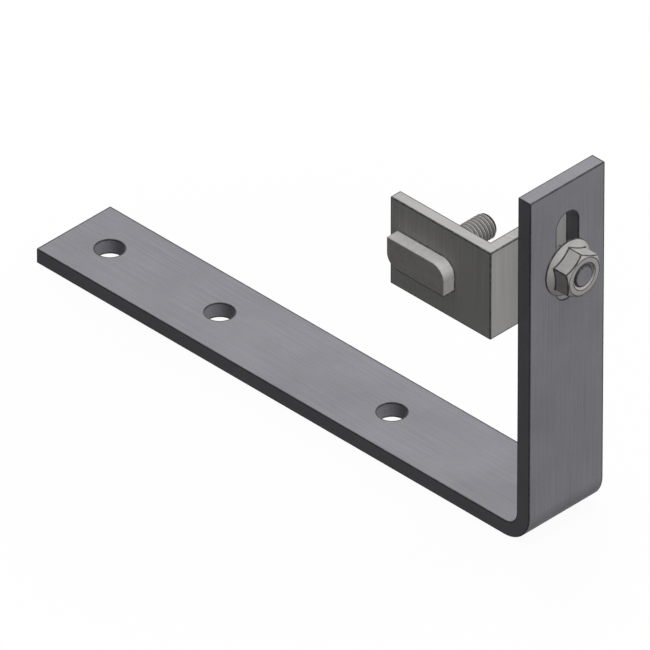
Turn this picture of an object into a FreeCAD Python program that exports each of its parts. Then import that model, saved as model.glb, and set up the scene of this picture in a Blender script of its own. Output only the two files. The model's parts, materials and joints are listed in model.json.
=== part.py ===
import FreeCAD, Part
import math
import os

import Sketcher
from FreeCAD import Placement, Rotation, Vector

# Roof hook: a bent strap with an adjustable angle and a hammerhead bolt for a rail.
#
# Frame, in millimetres: +Z up, the strap's underside at Z = 0, the strap's middle plane at Y = 0.
# The origin is on the axis of the screw hole nearest the bend. The base leg lies along X with its
# free end at -X, and the upright leg stands at +X.

PARTS_FOLDER = "parts"

# Driving sizes, each in a cell of its own on the sheet.
DRIVING_SIZES = {
    # The strap, a flat bar bent once to a right angle
    "strap_width": 30.0,
    "strap_thickness": 5.0,
    "base_length": 200.0,
    "upright_height": 120.0,
    "bend_inner_radius": 5.0,
    "strap_edge_radius": 0.2,
    "screw_hole_diameter": 9.0,
    "inner_hole_setback": 70.0,
    "middle_hole_margin": 60.0,
    "outer_hole_margin": 15.0,
    "slot_width": 9.0,
    "slot_length": 30.0,
    "slot_top_margin": 10.0,
    # The angle clamped to the inner face of the upright leg
    "rail_leg": 40.0,
    "strap_leg": 40.0,
    "angle_thickness": 4.0,
    "angle_length": 30.0,
    "angle_edge_radius": 0.2,
    "angle_hole_diameter": 9.0,
    "rail_leg_hole_setback": 25.5,
    "strap_leg_hole_setback": 26.0,
    "setting_below_slot_middle": 4.0,
    # Threads and hexagons, the same on every fastener
    "thread_diameter": 8.0,
    "thread_end_chamfer": 0.6,
    "nut_thread_clearance": 0.05,
    "across_flats": 13.0,
    "corner_chamfer_circle": 12.4,
    "corner_chamfer_angle": 30.0,
    # Flange nuts
    "nut_height": 6.8,
    "flange_diameter": 18.0,
    "flange_rim_height": 0.35,
    "flange_cone_angle": 28.0,
    "nut_countersink": 0.2,
    "slot_nut_turn": 4.5,
    "hammerhead_nut_turn": 12.0,
    # Hexagon bolt through the slot
    "slot_bolt_head_height": 5.3,
    "washer_face_diameter": 11.6,
    "washer_face_height": 0.4,
    # Hammerhead bolt through the angle's rail leg
    "hammerhead_bolt_length": 25.0,
    "hammerhead_length": 22.7,
    "hammerhead_width": 9.8,
    "hammerhead_thickness": 4.7,
    "hammerhead_corner_radius": 4.6,
    "hammerhead_edge_radius": 0.25,
    "direction_mark_width": 1.2,
    "direction_mark_depth": 0.9,
}

# Places and sizes that follow from the driving ones.
DERIVED_SIZES = {
    "outer_face_x": "inner_hole_setback",
    "inner_face_x": "inner_hole_setback - strap_thickness",
    "free_end_x": "inner_hole_setback - base_length",
    "outer_hole_x": "free_end_x + outer_hole_margin",
    "middle_hole_x": "free_end_x + middle_hole_margin",
    "bend_outer_radius": "bend_inner_radius + strap_thickness",
    "slot_radius": "slot_width / 2",
    "slot_upper_centre_z": "upright_height - slot_top_margin - slot_radius",
    "slot_lower_centre_z": "upright_height - slot_top_margin - slot_length + slot_radius",
    "slot_middle_z": "(slot_upper_centre_z + slot_lower_centre_z) / 2",
    "slot_bolt_z": "slot_middle_z - setting_below_slot_middle",
    "slot_bolt_seat_x": "inner_face_x - angle_thickness",
    "rail_face_y": "-strap_leg_hole_setback",
    "hammerhead_nut_seat_y": "rail_face_y + angle_thickness",
    "hammerhead_x": "inner_face_x - rail_leg_hole_setback",
    "thread_radius": "thread_diameter / 2",
    "thread_end_radius": "thread_radius - thread_end_chamfer",
    "nut_bore_diameter": "thread_diameter + 2 * nut_thread_clearance",
    "hex_half_flats": "across_flats / 2",
    "hex_corner": "across_flats / sqrt(3)",
    "hex_half_corner": "hex_corner / 2",
    "hex_cut_radius": "hex_corner + 0.5",
    "chamfer_circle_radius": "corner_chamfer_circle / 2",
    "chamfer_drop": "(hex_cut_radius - chamfer_circle_radius) * tan(corner_chamfer_angle * 1deg)",
    "nut_chamfer_start": "nut_height - chamfer_drop",
    "flange_radius": "flange_diameter / 2",
    "flange_apex": "flange_rim_height + flange_radius * tan(flange_cone_angle * 1deg)",
    "washer_face_radius": "washer_face_diameter / 2",
    "head_chamfer_start": "slot_bolt_head_height - chamfer_drop",
    "slot_bolt_length": "angle_thickness + strap_thickness + nut_height",
    "slot_bolt_chamfer_start": "slot_bolt_length - thread_end_chamfer",
    "hammerhead_chamfer_start": "hammerhead_bolt_length - thread_end_chamfer",
    "hammerhead_half_length": "hammerhead_length / 2",
    "hammerhead_half_width": "hammerhead_width / 2",
    "mark_half_width": "direction_mark_width / 2",
    "mark_floor": "hammerhead_bolt_length - direction_mark_depth",
}

# Two points closer than this are the same point.
SAME_POINT = 1e-4
# Two faces whose normals agree better than this meet in a smooth edge.
SMOOTH_COSINE = 0.999

# How each fastener lies: its own +Z, from head or seat to thread end, turned to the hook's frame.
ALONG_X = Rotation(Vector(0, 1, 0), 90)
ALONG_Y = Rotation(Vector(1, 0, 0), -90)
UNTURNED = Rotation()

doc = FreeCAD.newDocument("roof_hook")
sheet = doc.addObject("Spreadsheet::Sheet", "sizes")


def fill_sheet():
    """Writes every size to the sheet: its name in column A, its value or formula in column B."""
    rows = [(name, str(value)) for name, value in DRIVING_SIZES.items()]
    rows += [(name, "=" + rule) for name, rule in DERIVED_SIZES.items()]
    for row, (name, content) in enumerate(rows, start=1):
        sheet.set(f"A{row}", name)
        sheet.set(f"B{row}", content)
        sheet.setAlias(f"B{row}", name)
    doc.recompute()


def size(name):
    """The value of a size. A leading minus gives its opposite, and "0" is zero."""
    if name == "0":
        return 0.0
    if name.startswith("-"):
        return -size(name[1:])
    return float(sheet.get(name))


def formula(name):
    """The same size as an expression for a property of another object."""
    if name.startswith("-"):
        return f"-sizes.{name[1:]}"
    return f"sizes.{name}"


def new_body(name, place=("0", "0", "0"), rotation=UNTURNED):
    """An empty body, labelled with its node's name, at a place given by three sizes."""
    body = doc.addObject("PartDesign::Body", name)
    body.Label = name
    body.Placement = Placement(Vector(*(size(along) for along in place)), rotation)
    for axis, along in zip("xyz", place):
        if along != "0":
            body.setExpression(f"Placement.Base.{axis}", formula(along))
    return body


def new_sketch(body, name, plane):
    """A sketch on one of the body's own origin planes: XY_Plane, XZ_Plane or YZ_Plane."""
    sketch = body.newObject("Sketcher::SketchObject", name)
    support = next(item for item in body.Origin.OriginFeatures if item.Role == plane)
    sketch.AttachmentSupport = [(support, "")]
    sketch.MapMode = "FlatFace"
    return sketch


def hold_size(sketch, constraint, name):
    """Adds a constraint whose value is a size on the sheet."""
    index = sketch.addConstraint(constraint)
    sketch.setExpression(f"Constraints[{index}]", formula(name))


def hold_point(sketch, item, point, across, up):
    """Holds a point of a sketch at two sizes, measured from the sketch's axes."""
    first_axis, second_axis = -1, -2
    for kind, name, zero_line in (("DistanceX", across, second_axis), ("DistanceY", up, first_axis)):
        if name == "0":
            sketch.addConstraint(Sketcher.Constraint("PointOnObject", item, point, zero_line))
        else:
            hold_size(sketch, Sketcher.Constraint(kind, item, point, size(name)), name)


def draw_outline(body, name, plane, corners):
    """A closed outline of straight lines through corners, each a pair of sizes."""
    sketch = new_sketch(body, name, plane)
    spots = [Vector(size(across), size(up), 0) for across, up in corners]
    count = len(corners)
    for index, spot in enumerate(spots):
        sketch.addGeometry(Part.LineSegment(spot, spots[(index + 1) % count]))
    for index, (across, up) in enumerate(corners):
        following = (index + 1) % count
        sketch.addConstraint(Sketcher.Constraint("Coincident", index, 2, following, 1))
        hold_point(sketch, index, 1, across, up)
    return sketch


def draw_rectangle(body, name, plane, left, right, low, high):
    """A rectangle between four sizes."""
    corners = [(left, low), (right, low), (right, high), (left, high)]
    return draw_outline(body, name, plane, corners)


def draw_circles(body, name, plane, centres, diameter):
    """Circles of one diameter, each centre a pair of sizes."""
    sketch = new_sketch(body, name, plane)
    for across, up in centres:
        centre = Vector(size(across), size(up), 0)
        circle = sketch.addGeometry(Part.Circle(centre, Vector(0, 0, 1), size(diameter) / 2))
        hold_point(sketch, circle, 3, across, up)
        hold_size(sketch, Sketcher.Constraint("Diameter", circle, size(diameter)), diameter)
    return sketch


def draw_upright_slot(body, name, plane, low_centre, high_centre, radius):
    """A slot with round ends on the sketch's second axis, as two arcs joined by tangent lines."""
    sketch = new_sketch(body, name, plane)
    low, high, half = size(low_centre), size(high_centre), size(radius)
    low_circle = Part.Circle(Vector(0, low, 0), Vector(0, 0, 1), half)
    high_circle = Part.Circle(Vector(0, high, 0), Vector(0, 0, 1), half)
    left = sketch.addGeometry(Part.LineSegment(Vector(-half, low, 0), Vector(-half, high, 0)))
    right = sketch.addGeometry(Part.LineSegment(Vector(half, high, 0), Vector(half, low, 0)))
    top = sketch.addGeometry(Part.ArcOfCircle(high_circle, 0, math.pi))
    bottom = sketch.addGeometry(Part.ArcOfCircle(low_circle, math.pi, 2 * math.pi))
    for line, line_end, arc, arc_end in (
        (left, 2, top, 2),
        (right, 1, top, 1),
        (right, 2, bottom, 2),
        (left, 1, bottom, 1),
    ):
        sketch.addConstraint(Sketcher.Constraint("Tangent", line, line_end, arc, arc_end))
    hold_point(sketch, top, 3, "0", high_centre)
    hold_point(sketch, bottom, 3, "0", low_centre)
    sketch.addConstraint(Sketcher.Constraint("Equal", top, bottom))
    hold_size(sketch, Sketcher.Constraint("Radius", top, half), radius)
    return sketch


def draw_hexagon(body, name, turn=None):
    """The wrench hexagon round the fastener's axis, turned by an angle on the sheet."""
    corners = [
        ("hex_corner", "0"),
        ("hex_half_corner", "hex_half_flats"),
        ("-hex_half_corner", "hex_half_flats"),
        ("-hex_corner", "0"),
        ("-hex_half_corner", "-hex_half_flats"),
        ("hex_half_corner", "-hex_half_flats"),
    ]
    sketch = draw_outline(body, name, "XY_Plane", corners)
    if turn:
        sketch.AttachmentOffset = Placement(Vector(), Rotation(Vector(0, 0, 1), size(turn)))
        sketch.setExpression("AttachmentOffset.Rotation.Angle", formula(turn) + " * 1deg")
    return sketch


def pad(body, name, sketch, length, side="One side", backwards=False):
    """Material along the sketch's normal, by a length on the sheet."""
    feature = body.newObject("PartDesign::Pad", name)
    feature.Profile = sketch
    feature.Length = size(length)
    feature.setExpression("Length", formula(length))
    feature.SideType = side
    feature.Reversed = backwards
    doc.recompute()
    return feature


def turn_solid(body, name, sketch):
    """Material swept once round the sketch's second axis."""
    feature = body.newObject("PartDesign::Revolution", name)
    feature.Profile = sketch
    feature.ReferenceAxis = (sketch, ["V_Axis"])
    feature.Angle = 360.0
    doc.recompute()
    return feature


def cut_through(body, name, sketch):
    """A cut through everything, on both sides of the sketch."""
    before = body.Shape.Volume
    feature = body.newObject("PartDesign::Pocket", name)
    feature.Profile = sketch
    feature.Type = "ThroughAll"
    feature.SideType = "Symmetric"
    doc.recompute()
    check_cut(name, before, feature.Shape.Volume)
    return feature


def turn_cut(body, name, sketch):
    """A cut swept once round the sketch's second axis."""
    before = body.Shape.Volume
    feature = body.newObject("PartDesign::Groove", name)
    feature.Profile = sketch
    feature.ReferenceAxis = (sketch, ["V_Axis"])
    feature.Angle = 360.0
    doc.recompute()
    check_cut(name, before, feature.Shape.Volume)
    return feature


def check_cut(name, before, after):
    """Stops where a cut took nothing away."""
    if after >= before:
        raise RuntimeError(f"{name} cuts nothing")


def edge_names(shape, wanted):
    """The names of the edges of a shape that pass a test."""
    return [f"Edge{index}" for index, edge in enumerate(shape.Edges, start=1) if wanted(edge)]


def middle(edge):
    """The point halfway along an edge."""
    return edge.valueAt((edge.FirstParameter + edge.LastParameter) / 2)


def is_at(value, name):
    """Whether a coordinate equals a size."""
    return abs(value - size(name)) < SAME_POINT


def is_sharp(shape, edge):
    """Whether the two faces at an edge meet at a corner and not smoothly."""
    normals = []
    for face in shape.ancestorsOfType(edge, Part.Face):
        across, along = face.Surface.parameter(middle(edge))
        normals.append(face.normalAt(across, along))
    return len(normals) == 2 and abs(normals[0].dot(normals[1])) < SMOOTH_COSINE


def dress_edges(body, kind, name, edges, prop, amount):
    """A fillet or chamfer on named edges of the body's last feature."""
    base = body.Tip
    feature = body.newObject(f"PartDesign::{kind}", name)
    feature.Base = (base, edges)
    feature.setExpression(prop, formula(amount))
    doc.recompute()
    return feature


def round_edges(body, name, wanted, radius):
    """A fillet on the edges that pass a test."""
    edges = edge_names(body.Shape, wanted)
    return dress_edges(body, "Fillet", name, edges, "Radius", radius)


def make_strap():
    """The flat bar: an L outline as wide as the bar, its bend, its softened edges and its holes."""
    body = new_body("hook_strap")
    profile = [
        ("free_end_x", "0"),
        ("outer_face_x", "0"),
        ("outer_face_x", "upright_height"),
        ("inner_face_x", "upright_height"),
        ("inner_face_x", "strap_thickness"),
        ("free_end_x", "strap_thickness"),
    ]
    pad(body, "bar", draw_outline(body, "bar_outline", "XZ_Plane", profile), "strap_width", "Symmetric")

    def inside_bend(edge):
        spot = middle(edge)
        return is_at(spot.x, "inner_face_x") and is_at(spot.y, "0") and is_at(spot.z, "strap_thickness")

    def outside_bend(edge):
        spot = middle(edge)
        return is_at(spot.x, "outer_face_x") and is_at(spot.y, "0") and is_at(spot.z, "0")

    round_edges(body, "bend_inside", inside_bend, "bend_inner_radius")
    round_edges(body, "bend_outside", outside_bend, "bend_outer_radius")
    bent_bar = body.Shape
    round_edges(body, "bar_edges", lambda edge: is_sharp(bent_bar, edge), "strap_edge_radius")

    holes = [("0", "0"), ("middle_hole_x", "0"), ("outer_hole_x", "0")]
    circles = draw_circles(body, "screw_hole_circles", "XY_Plane", holes, "screw_hole_diameter")
    cut_through(body, "screw_holes", circles)
    slot = draw_upright_slot(
        body, "slot_outline", "YZ_Plane", "slot_lower_centre_z", "slot_upper_centre_z", "slot_radius"
    )
    cut_through(body, "slot", slot)
    return body


def make_angle():
    """The angle: an L section with its outer corner on the body's Z axis, and a hole in each leg."""
    body = new_body("clamp_angle", ("inner_face_x", "rail_face_y", "slot_bolt_z"))
    section = [
        ("0", "0"),
        ("-rail_leg", "0"),
        ("-rail_leg", "angle_thickness"),
        ("-angle_thickness", "angle_thickness"),
        ("-angle_thickness", "strap_leg"),
        ("0", "strap_leg"),
    ]
    pad(body, "bar", draw_outline(body, "section", "XY_Plane", section), "angle_length", "Symmetric")
    raw_bar = body.Shape

    def outward_edge(edge):
        local = body.Placement.inverse().multVec(middle(edge))
        in_root = is_at(local.x, "-angle_thickness") and is_at(local.y, "angle_thickness")
        return is_sharp(raw_bar, edge) and not in_root

    round_edges(body, "bar_edges", outward_edge, "angle_edge_radius")
    rail_hole = draw_circles(
        body, "rail_hole_circle", "XZ_Plane", [("-rail_leg_hole_setback", "0")], "angle_hole_diameter"
    )
    cut_through(body, "rail_hole", rail_hole)
    strap_hole = draw_circles(
        body, "strap_hole_circle", "YZ_Plane", [("strap_leg_hole_setback", "0")], "angle_hole_diameter"
    )
    cut_through(body, "strap_hole", strap_hole)
    return body


def add_shank(body, length, chamfer_start):
    """The threaded shank from the head's bearing face to its chamfered end, at the thread's crest."""
    half_section = [
        ("0", "0"),
        ("thread_radius", "0"),
        ("thread_radius", chamfer_start),
        ("thread_end_radius", length),
        ("0", length),
    ]
    turn_solid(body, "shank", draw_outline(body, "shank_half_section", "XZ_Plane", half_section))


def chamfer_corners(body, face, start):
    """The cone that takes the hexagon's corners off towards a face."""
    triangle = [("chamfer_circle_radius", face), ("hex_cut_radius", face), ("hex_cut_radius", start)]
    turn_cut(body, "corner_chamfer", draw_outline(body, "chamfer_triangle", "XZ_Plane", triangle))


def make_slot_bolt():
    """The hexagon bolt: its bearing face at the body's origin, its head below it."""
    body = new_body("slot_bolt", ("slot_bolt_seat_x", "0", "slot_bolt_z"), ALONG_X)
    hexagon = draw_hexagon(body, "head_hexagon")
    pad(body, "head", hexagon, "slot_bolt_head_height", backwards=True)
    chamfer_corners(body, "-slot_bolt_head_height", "-head_chamfer_start")
    washer_step = draw_rectangle(
        body, "washer_step", "XZ_Plane", "washer_face_radius", "hex_cut_radius", "-washer_face_height", "0"
    )
    turn_cut(body, "washer_face", washer_step)
    add_shank(body, "slot_bolt_length", "slot_bolt_chamfer_start")
    return body


def make_hammerhead_bolt():
    """The hammerhead bolt: an oblong head that turns in a rail and stops on its two square corners."""
    body = new_body("hammerhead_bolt", ("hammerhead_x", "rail_face_y", "slot_bolt_z"), ALONG_Y)
    block = draw_rectangle(
        body,
        "head_outline",
        "XY_Plane",
        "-hammerhead_half_length",
        "hammerhead_half_length",
        "-hammerhead_half_width",
        "hammerhead_half_width",
    )
    pad(body, "head", block, "hammerhead_thickness", backwards=True)

    def leading_corner(edge):
        local = body.Placement.inverse().multVec(middle(edge))
        half_length, half_width = size("hammerhead_half_length"), size("hammerhead_half_width")
        return abs(local.x * half_width + local.y * half_length) < SAME_POINT and abs(local.x) > SAME_POINT

    def front_edge(edge):
        local = body.Placement.inverse().multVec(middle(edge))
        return is_at(local.z, "-hammerhead_thickness")

    round_edges(body, "turning_corners", leading_corner, "hammerhead_corner_radius")
    round_edges(body, "front_edges", front_edge, "hammerhead_edge_radius")
    add_shank(body, "hammerhead_bolt_length", "hammerhead_chamfer_start")
    mark = draw_rectangle(
        body,
        "mark_outline",
        "YZ_Plane",
        "-mark_half_width",
        "mark_half_width",
        "mark_floor",
        "hammerhead_bolt_length",
    )
    cut_through(body, "direction_mark", mark)
    return body


def make_flange_nut(name, place, rotation, turn):
    """A flange nut: its seat at the body's origin, with the flange's cone running up to the hexagon."""
    body = new_body(name, place, rotation)
    pad(body, "hexagon_block", draw_hexagon(body, "hexagon", turn), "nut_height")
    chamfer_corners(body, "nut_height", "nut_chamfer_start")
    flange = [("0", "0"), ("flange_radius", "0"), ("flange_radius", "flange_rim_height"), ("0", "flange_apex")]
    turn_solid(body, "flange", draw_outline(body, "flange_half_section", "XZ_Plane", flange))
    bore = draw_circles(body, "bore_circle", "XY_Plane", [("0", "0")], "nut_bore_diameter")
    cut_through(body, "bore", bore)

    def bore_mouth(edge):
        radius = getattr(edge.Curve, "Radius", 0.0)
        return abs(radius - size("nut_bore_diameter") / 2) < SAME_POINT

    mouths = edge_names(body.Shape, bore_mouth)
    dress_edges(body, "Chamfer", "countersinks", mouths, "Size", "nut_countersink")
    return body


def check(bodies):
    """Stops if any object failed or any sub-part isn't one sound solid."""
    for item in doc.Objects:
        if "Invalid" in item.State or "Error" in item.State:
            raise RuntimeError(f"{item.Name} failed: {item.State}")
    for body in bodies:
        shape = body.Shape
        if shape.isNull() or not shape.isValid() or len(shape.Solids) != 1:
            raise RuntimeError(f"{body.Label} isn't one sound solid")


def write(bodies):
    """Writes each sub-part to a file named after its node."""
    os.makedirs(PARTS_FOLDER, exist_ok=True)
    for body in bodies:
        body.Shape.exportStep(f"{PARTS_FOLDER}/{body.Label}.step")
        box = body.Shape.BoundBox
        print(
            f"{body.Label}: {body.Shape.Volume:.1f} mm3,"
            f" X {box.XMin:.2f} to {box.XMax:.2f},"
            f" Y {box.YMin:.2f} to {box.YMax:.2f},"
            f" Z {box.ZMin:.2f} to {box.ZMax:.2f}"
        )


fill_sheet()
sub_parts = [
    make_strap(),
    make_angle(),
    make_slot_bolt(),
    make_flange_nut("slot_nut", ("outer_face_x", "0", "slot_bolt_z"), ALONG_X, "slot_nut_turn"),
    make_hammerhead_bolt(),
    make_flange_nut(
        "hammerhead_nut",
        ("hammerhead_x", "hammerhead_nut_seat_y", "slot_bolt_z"),
        ALONG_Y,
        "hammerhead_nut_turn",
    ),
]
doc.recompute()
check(sub_parts)
write(sub_parts)
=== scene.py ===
"""The looks of a roof hook: a bent strap, the angle clamped to it, and their two bolts with nuts.

Everything is in metres in the hook's own frame: +Z up off the roof, +X along the base leg towards
the upright leg, the rail side at -Y, the origin on the axis of the screw hole nearest the bend.
"""

import json
import logging
import math
from collections.abc import Callable, Sequence
from dataclasses import dataclass, field, replace
from enum import Enum
from functools import partial

import bmesh
import bpy
from mathutils import Matrix, Vector


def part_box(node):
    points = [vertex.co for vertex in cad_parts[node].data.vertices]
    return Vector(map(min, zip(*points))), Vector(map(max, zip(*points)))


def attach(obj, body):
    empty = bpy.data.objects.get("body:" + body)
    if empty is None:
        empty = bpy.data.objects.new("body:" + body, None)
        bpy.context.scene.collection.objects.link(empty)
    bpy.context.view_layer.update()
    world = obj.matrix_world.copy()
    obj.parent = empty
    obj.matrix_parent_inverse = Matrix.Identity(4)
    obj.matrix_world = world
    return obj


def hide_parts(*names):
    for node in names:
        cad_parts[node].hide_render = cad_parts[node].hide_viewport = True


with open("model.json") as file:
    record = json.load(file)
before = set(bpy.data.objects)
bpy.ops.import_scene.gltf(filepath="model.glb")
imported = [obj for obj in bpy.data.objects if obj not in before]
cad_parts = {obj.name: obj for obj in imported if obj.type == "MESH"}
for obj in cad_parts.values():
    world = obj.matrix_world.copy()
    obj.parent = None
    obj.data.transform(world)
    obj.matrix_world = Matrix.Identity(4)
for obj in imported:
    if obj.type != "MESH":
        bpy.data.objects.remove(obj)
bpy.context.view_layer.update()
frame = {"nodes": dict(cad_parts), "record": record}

log = logging.getLogger("roof_hook")

MM = 0.001

# Sides of every round form on the fasteners, a multiple of the hexagon's six corners.
SIDES = 96
# Points nearer than this are one point.
SAME_POINT = 1e-6
# Faces that meet at more than this show an edge between them.
SHARP_ANGLE = math.radians(40)

# The least part of a face's normal along an axis with which it faces that way, or leans that way.
FACING, LEANING = 0.9, 0.3

WHITE = (1.0, 1.0, 1.0, 1.0)

# The node kinds that this file uses most.
MATH = "ShaderNodeMath"
VECTOR_MATH = "ShaderNodeVectorMath"
MAP_RANGE = "ShaderNodeMapRange"
MIX = "ShaderNodeMix"
NOISE = "ShaderNodeTexNoise"
SPLIT = "ShaderNodeSeparateXYZ"
JOIN = "ShaderNodeCombineXYZ"
ATTRIBUTE = "ShaderNodeAttribute"

Tree = bpy.types.NodeTree
Node = bpy.types.Node
Socket = bpy.types.NodeSocket
Material = bpy.types.Material
Mesh = bpy.types.Mesh
Object = bpy.types.Object
Ring = list[Vector]
Value = float | int | Sequence[float] | Node | Socket


class Along(Enum):
    """The hook's axis that a fastener's own +Z, from its head to its thread end, lies on."""

    X = 0
    Y = 1

    def turn(self) -> Matrix:
        """The turn from the fastener's own axes to the hook's."""
        degrees, axis = (90, "Y") if self is Along.X else (-90, "X")
        return Matrix.Rotation(math.radians(degrees), 4, axis)


class Side(Enum):
    """Which side of a thread's skin the steel is on."""

    BOLT = "bolt"
    NUT = "nut"


def linear(colour: str) -> tuple[float, float, float, float]:
    """Turns an sRGB colour to Blender's linear one.

    Args:
        colour: Six hex digits after a hash sign.

    Returns:
        Red, green, blue and an alpha of 1.
    """
    shares = [int(colour[start : start + 2], 16) / 255 for start in (1, 3, 5)]
    red, green, blue = (s / 12.92 if s <= 0.04045 else ((s + 0.055) / 1.055) ** 2.4 for s in shares)
    return red, green, blue, 1.0


def add_node(
    tree: Tree, kind: str, inputs: dict[int | str, Value] | None = None, **settings: object
) -> Node:
    """Adds a node to a tree.

    Args:
        tree: The tree that gets the node.
        kind: The node's type.
        inputs: What goes into its sockets, by index or name: a value, an output socket, or a node
            whose first output is meant.
        **settings: The node's own properties.

    Returns:
        The node.
    """
    node = tree.nodes.new(kind)
    for name, setting in settings.items():
        setattr(node, name, setting)
    for key, value in (inputs or {}).items():
        if isinstance(value, Node):
            tree.links.new(value.outputs[0], node.inputs[key])
        elif isinstance(value, Socket):
            tree.links.new(value, node.inputs[key])
        else:
            node.inputs[key].default_value = value
    return node


# Finishes


@dataclass(frozen=True)
class Finish:
    """A metal's surface: a pattern between two tones, worn lines at its edges, and its gloss."""

    name: str
    light: str
    dark: str
    edge: str
    edge_strength: float = 0.95
    metallic: float = 0.06
    specular: float = 0.12
    roughness_low: float = 0.50
    roughness_high: float = 0.66
    relief: float = 0.02 * MM
    chip: float = 1.6 * MM
    # The lines are full up to the first distance from an edge and gone at the second.
    line_full: float = 0.35 * MM
    line_end: float = 0.5 * MM
    # How strong faint lines are, as a share, and the noise values between which they turn full.
    faint_share: float = 0.8
    chip_range: tuple[float, float] = (0.35, 0.6)
    # The grain's values at which the tone is all dark and all light.
    grain_range: tuple[float, float] = (0.3, 0.7)

    def lay_out(self, tree: Tree) -> Value:
        """Where a point lies on the piece, laid flat if the piece was bent."""
        return add_node(tree, "ShaderNodeTexCoord").outputs["Object"]

    def grain(self, tree: Tree, place: Value) -> Value:
        """The pattern at a place, about 0.5 on average, dark where low and light where high."""
        raise NotImplementedError

    def edges(self, tree: Tree, place: Value) -> Value:
        """Where the edges are: 1 on them and 0 away from them."""
        raise NotImplementedError

    def worn_line(self, tree: Tree, nearest: Value) -> Node:
        """1 near an edge and 0 away from it, for a value that is 0 on an edge and less off it."""
        limits = {0: nearest, 1: -self.line_end, 2: -self.line_full}
        return add_node(tree, MAP_RANGE, limits, interpolation_type="SMOOTHSTEP")

    def recolour(self, tree: Tree, place: Value, colour: Value) -> Value:
        """Changes the colour in places; the finishes here paint shade with it. Plain finishes keep
        it.
        """
        return colour

    def build(self) -> Material:
        """Makes the material.

        Returns:
            The material, named after the finish.
        """
        material = bpy.data.materials.new(self.name)
        material.use_nodes = True
        tree = material.node_tree
        tree.nodes.clear()
        add = partial(add_node, tree)

        place = self.lay_out(tree)
        low, high = self.grain_range
        pattern = add(MAP_RANGE, {0: self.grain(tree, place), 1: low, 2: high})
        dark, light = linear(self.dark), linear(self.light)
        tones = add(MIX, {0: pattern, 6: dark, 7: light}, data_type="RGBA")
        colour = self.recolour(tree, place, tones.outputs[2])

        # The lines along the edges are fainter here and there, as handling leaves them.
        start, end = self.chip_range
        faint, full = self.faint_share * self.edge_strength, self.edge_strength
        chips = add(NOISE, {"Vector": place, "Scale": 1 / self.chip, "Detail": 2.0})
        strength = add(MAP_RANGE, {0: chips, 1: start, 2: end, 3: faint, 4: full})
        share = add(MATH, {0: self.edges(tree, place), 1: strength}, operation="MULTIPLY")
        worn = add(MIX, {0: share, 6: colour, 7: linear(self.edge)}, data_type="RGBA")

        gloss = add(MAP_RANGE, {0: pattern, 3: self.roughness_high, 4: self.roughness_low})
        bump = add("ShaderNodeBump", {"Distance": self.relief, "Height": pattern})
        shader = add(
            "ShaderNodeBsdfPrincipled",
            {
                "Base Color": worn.outputs[2],
                "Metallic": self.metallic,
                "Specular IOR Level": self.specular,
                "Roughness": gloss,
                "Normal": bump,
            },
        )
        add("ShaderNodeOutputMaterial", {"Surface": shader})
        return material


def box_edges(tree: Tree, place: Value, centre: Vector, half: Vector) -> tuple[Node, Socket]:
    """Works out how near a point on a box is to the box's edges.

    Args:
        tree: The tree that gets the nodes.
        place: The point.
        centre: The box's centre.
        half: Half the box's size.

    Returns:
        The node whose output is 0 on an edge and less away from it, and the socket that says how
        far the point lies over the faces across Z, 0 on them and less inside.
    """
    add = partial(add_node, tree)
    from_centre = add(VECTOR_MATH, {0: place, 1: centre}, operation="SUBTRACT")
    apart = add(VECTOR_MATH, {0: from_centre}, operation="ABSOLUTE")
    over = add(SPLIT, {0: add(VECTOR_MATH, {0: apart, 1: half}, operation="SUBTRACT")}).outputs
    # A point on the box has 0 as the largest of the three, so the second says how near an edge is.
    lower = add(MATH, {0: over["X"], 1: over["Y"]}, operation="MINIMUM")
    higher = add(MATH, {0: over["X"], 1: over["Y"]}, operation="MAXIMUM")
    below = add(MATH, {0: higher, 1: over["Z"]}, operation="MINIMUM")
    return add(MATH, {0: lower, 1: below}, operation="MAXIMUM"), over["Z"]


def streaks(tree: Tree, place: Value, widths: tuple[float, float, float]) -> Node:
    """Makes a noise of long spots.

    Args:
        tree: The tree that gets the nodes.
        place: Where a point lies.
        widths: How far a spot reaches along each axis.

    Returns:
        The node whose output is the noise.
    """
    stretch = tuple(1 / width for width in widths)
    stretched = add_node(tree, VECTOR_MATH, {0: place, 1: stretch}, operation="MULTIPLY")
    return add_node(tree, NOISE, {"Vector": stretched, "Scale": 1.0, "Detail": 3.0})


@dataclass(frozen=True)
class Opening:
    """A round hole in the bar laid flat, or a slot along it."""

    centre: float
    half_length: float
    radius: float


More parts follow.
